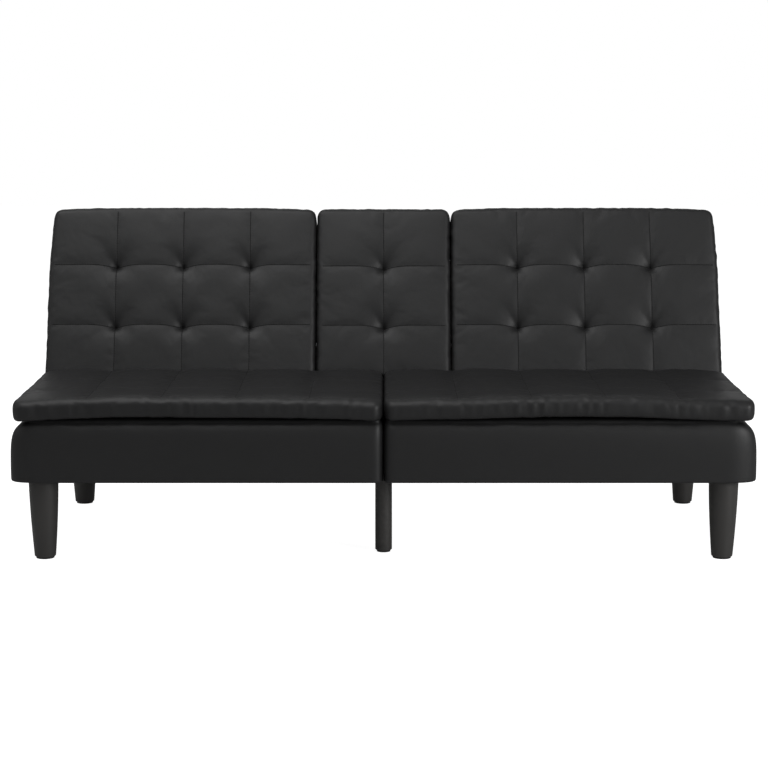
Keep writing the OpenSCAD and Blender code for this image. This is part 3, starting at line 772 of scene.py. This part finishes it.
def cut_pocket(piece, low, high, side):
    """Opens the slot that the hinge plate swings through, given in the backrest's own axes."""
    corners = np.array([[x, u, -v] for x in (low[0], high[0]) for u in (low[1], high[1])
                        for v in (low[2], high[2])], float)
    corners[:, 0] *= side
    mesh = bpy.data.meshes.new("pocket")
    mesh.from_pydata(back_world(corners).tolist(), [],
                     [(0, 1, 3, 2), (4, 6, 7, 5), (0, 4, 5, 1), (2, 3, 7, 6), (0, 2, 6, 4), (1, 5, 7, 3)])
    cutter = bpy.data.objects.new("pocket", mesh)
    bpy.context.scene.collection.objects.link(cutter)
    mesh.update()
    middle = Vector(back_world(corners).mean(0))
    if sum(p.normal.dot(p.center - middle) for p in mesh.polygons) < 0:
        mesh.flip_normals()
    cut = piece.modifiers.new("pocket", "BOOLEAN")
    cut.operation = "DIFFERENCE"
    cut.solver = "EXACT"
    cut.object = cutter
    shown = piece.evaluated_get(bpy.context.evaluated_depsgraph_get())
    shaped = bpy.data.meshes.new_from_object(shown)
    piece.modifiers.clear()
    piece.data = shaped
    bpy.data.objects.remove(cutter)


# Pieces of the sofa ---------------------------------------------------------

def make_seat_box(side):
    """A seat half's padded box: a groove under the pillow top, bulging walls and a wrapped foot."""
    hand = hand_of(side)
    foam_low, foam_high = seat_box_of("seat_foam_right")
    foot, wall, full = seat_box_of("seat_border_right")[0].z, 24 * MM, 45
    outline = (foam_low.x - 2.8 * MM, foam_high.x + 3 * MM, 8 * MM, foam_high.y)
    inner = (foam_low.x + 0.1 * MM, foam_high.x - wall, wall, foam_high.y - wall)
    under = (foam_low.x - 1.5 * MM, foam_high.x - 9 * MM, 16 * MM, foam_high.y - 8 * MM)
    slope = [(44.5, 7), (40, 10), (31, 13), (22, 18), (14, 26), (8, 36), (3.6, 52), (1, 76)]
    rings = [((full - inset) * MM, foam_high.z - drop * MM) for inset, drop in slope]
    rings += [(full * MM, foot + 20 * MM), (full * MM, foot + 3 * MM), (44.5 * MM, foot - 2 * MM),
              (42 * MM, foot - 4.6 * MM), (under, foot - 5 * MM), (inner, foot + 0.3 * MM),
              (inner, foam_low.z)]
    pad = Pad(outline, foam_high.z, rings, 12 * MM * COARSE, 12 * MM, reach=(0.1, 1, 0.35, 0.3),
              gather=0.25 * MM, seed=11 + side)
    settle(pad, 8, 0.8, 0.002, 3 * MM, frames=10, seed=3 + side, top=foam_high.z)
    finish_pad("seat_box", pad, side, seat_world, "base", [f"seat_foam_{hand}", f"seat_border_{hand}"])


def make_pillow(side):
    """A seat half's pillow top: lightly tufted, bowed along its front edge and swollen at the rear."""
    hand = hand_of(side)
    low, high = seat_box_of("pillow_top_right")
    seat_d = seat_box_of("seat_foam_right")[1].y
    outline = (low.x - 2.8 * MM, high.x + 2.5 * MM, low.y - 6 * MM, high.y + 3 * MM)
    rings = quarter_turn(20 * MM, 19 * MM, high.z)
    rings += [(20 * MM, low.z + 14 * MM), (18.5 * MM, low.z + 7 * MM), (13.5 * MM, low.z + 1.2 * MM),
              (7 * MM, low.z)]

    def bow(s, t, column_gap):
        rear = np.clip((t + 1) / 2, 0, 1) ** 1.3
        swell = 10 * MM * (1 - s ** 2) - 1 * MM + 1.3 * MM * np.sin(5 * s + side)
        puff = (11 * MM - 3.5 * MM * np.exp(-(column_gap / 30e-3) ** 2)) * (1 - 0.65 * s ** 8)
        return swell * (1 - rear) + puff * rear

    pad = Pad(outline, high.z, rings, 6.6 * MM * COARSE, 14 * MM, reach=(0.5, 0.45, 1, 0.5),
              columns=[COLUMN * i for i in (1, 2, 3, 4)], rows=[seat_d * v for v in SEAT_ROWS],
              tuft=5 * MM, tuft_r=17 * MM, seam=2 * MM, row_seam=1 * MM, seam_w=9 * MM, shape=bow,
              follow=True, hem=7.5 * MM, folds=1.5 * MM, gather=0.42 * MM, edge_seam=7, seed=21 + side)
    pad.gap *= 1.8      # a finer stitch than the backrest's
    settle(pad, 6, 0.6, 0.005, 4 * MM, frames=14, seed=5 + side)
    finish_pad("pillow", pad, side, seat_world, "base", [f"pillow_top_{hand}"])


BACK_LOOK = {"crown": 4 * MM, "tuft": 24 * MM, "tuft_r": 18 * MM, "seam": 1.2 * MM, "row_seam": 0.5 * MM,
             "seam_w": 6 * MM, "sag": 6 * MM, "folds": 0.9 * MM, "gather": 0.14 * MM, "edge_seam": 3}


def back_rows(foot, top):
    return [foot + (top - foot) * v for v in BACK_ROWS]


def back_rings(face, rear, inner, pocket):
    """Rings from a backrest pad's face to its rear edge, then in round the boards to the pocket's floor."""
    side_top, reach = 30 * MM, 15 * MM
    rings = quarter_turn(reach, 17 * MM, 0.0)
    rings += [(reach, -side_top), (reach, -(side_top + rear) / 2), (reach, 6 * MM - rear),
              (14 * MM, 2 * MM - rear), (11 * MM, -rear), (inner, -rear), (inner, -pocket)]
    return [(out, level + face) for out, level in rings]


def make_back_pad(side):
    """A wide backrest section, tufted three by two, with a pocket for its hinge plate."""
    hand = hand_of(side)
    strip_low, strip_high = back_box("back_border_right")
    foam_low, foam_high = back_box("back_cushion_right")
    arm_low, arm_high = back_box("hinge_arm_right")
    plate_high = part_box("hinge_plate_right")[1]
    foot, length, face = foam_low[1], foam_high[1], foam_high[2]
    outline = (strip_low[0] - 1.6 * MM, strip_high[0], foot, length - 2.5 * MM)
    inner = (strip_low[0] + 1.9 * MM, arm_high[0] + 0.5 * MM, foot + 1.9 * MM, length - 13 * MM)
    pad = Pad(outline, face, back_rings(face, 103.5 * MM, inner, 75.2 * MM), 6 * MM * COARSE, 4 * MM,
              columns=[COLUMN * i for i in (2, 3, 4)], rows=back_rows(foot, length), droop=6 * MM,
              taper=10 * MM, seed=31 + side, **BACK_LOOK)
    settle(pad, 6, 0.25, 0.002, 3 * MM, frames=14, seed=7 + side, top=face + 8 * MM)
    piece = finish_pad("back_pad", pad, side, back_world, "backrest",
                       [f"back_cushion_{hand}", f"back_border_{hand}"])
    cut_pocket(piece, (arm_low[0] - 3 * MM, foot - 10 * MM, 18 * MM - face),
               (plate_high.x + 3.5 * MM, foot + 95 * MM, 120 * MM - face), side)


def make_back_cover(side):
    """The padded panel that closes the rear of a wide section."""
    low, high = back_box("back_panel_right")
    outline = (low[0] - 3 * MM, high[0], low[1] - 6 * MM, high[1])
    inner_v, outer_v = -high[2], -low[2]
    rings = [(2 * MM, outer_v - 0.5 * MM), (3.2 * MM, outer_v - 2.5 * MM), (3 * MM, outer_v - 4.5 * MM),
             (2 * MM, inner_v)]
    pad = Pad(outline, outer_v, rings, 12 * MM * COARSE, 8 * MM, crown=1.5 * MM, gather=0.35 * MM,
              edge_seam=0, seed=41 + side)
    settle(pad, 0, 1.5, 0.01, 4 * MM, frames=10, seed=9 + side, top=outer_v + 3 * MM)
    finish_pad("back_cover", pad, side, rear_world, "backrest", [f"back_panel_{hand_of(side)}"],
               flip=True)


def make_console_pad():
    """The narrow middle section, which folds down onto the seat."""
    low, high = back_box("console_cushion")
    board_low, board_high = back_box("console_side_boards")
    face, gap, rear = high[2], 0.3 * MM, 0.1055
    outline = (low[0] - 1.6 * MM, high[0] + 1.6 * MM, low[1], high[1])
    inner = (board_low[0] - gap, board_high[0] + gap, board_low[1] - gap, board_high[1] + gap)
    foot = back_box("back_cushion_right")[0][1]
    pad = Pad(outline, face, back_rings(face, rear, inner, 33.8 * MM), 6 * MM * COARSE, 5 * MM,
              columns=[0.0], rows=back_rows(foot, high[1]), seed=51, **BACK_LOOK)
    settle(pad, 6, 0.25, 0.002, 3 * MM, frames=14, seed=12, top=face + 8 * MM)
    piece = finish_pad("console_pad", pad, 0, back_world, "console", ["console_cushion"])
    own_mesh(piece)


make_camera()
make_studio()
make_floor()
for hand_side in (-1, 1):
    make_seat_box(hand_side)
    make_pillow(hand_side)
    make_back_pad(hand_side)
    make_back_cover(hand_side)
make_console_pad()


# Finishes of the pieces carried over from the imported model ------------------

POWDER = powder_coat()
ZINC = plated_steel("zinc_plate", (0.62, 0.63, 0.65), 0.32)
SPRING = plated_steel("oiled_spring_steel", (0.3, 0.3, 0.31), 0.4)
LEG_BLACK = moulded_plastic("satin_leg_black", (0.028, 0.0265, 0.025), (0.042, 0.04, 0.0375), 0.48, 0.05 * MM)
GLIDE = moulded_plastic("glide_plastic", (0.01, 0.01, 0.01), (0.02, 0.02, 0.02), 0.6, 0.05 * MM)
TRAY = moulded_plastic("tray_plastic", (0.012, 0.012, 0.012), (0.02, 0.02, 0.021), 0.42, 0.15 * MM)
FINISHES = [
    (("leg_front", "leg_rear", "leg_middle"), LEG_BLACK),
    (("leg_glides",), GLIDE),
    (("cup_tray",), TRAY),
    (("dust_cover",), cloth("dust_cloth", (0.012, 0.012, 0.012), 1500.0, 0.2 * MM)),
    (("back_webbing",), cloth("webbing", (0.02, 0.02, 0.02), 2200.0, 0.4 * MM)),
    (("console_side_boards", "console_end_boards"),
     cloth("board_lining", (0.011, 0.011, 0.011), 1600.0, 0.15 * MM)),
    (("seat_springs",), SPRING),
    (("joining_bolts", "centre_spacers", "leg_bolts", "hinge_pins", "hinge_bolts", "hinge_pawls",
      "console_pins"), ZINC),
]
for node_name, piece in frame["nodes"].items():
    finish = next((f for stems, f in FINISHES if node_name.startswith(stems)), POWDER)
    if piece.data.materials:
        for i in range(len(piece.data.materials)):
            piece.data.materials[i] = finish
    else:
        piece.data.materials.append(finish)
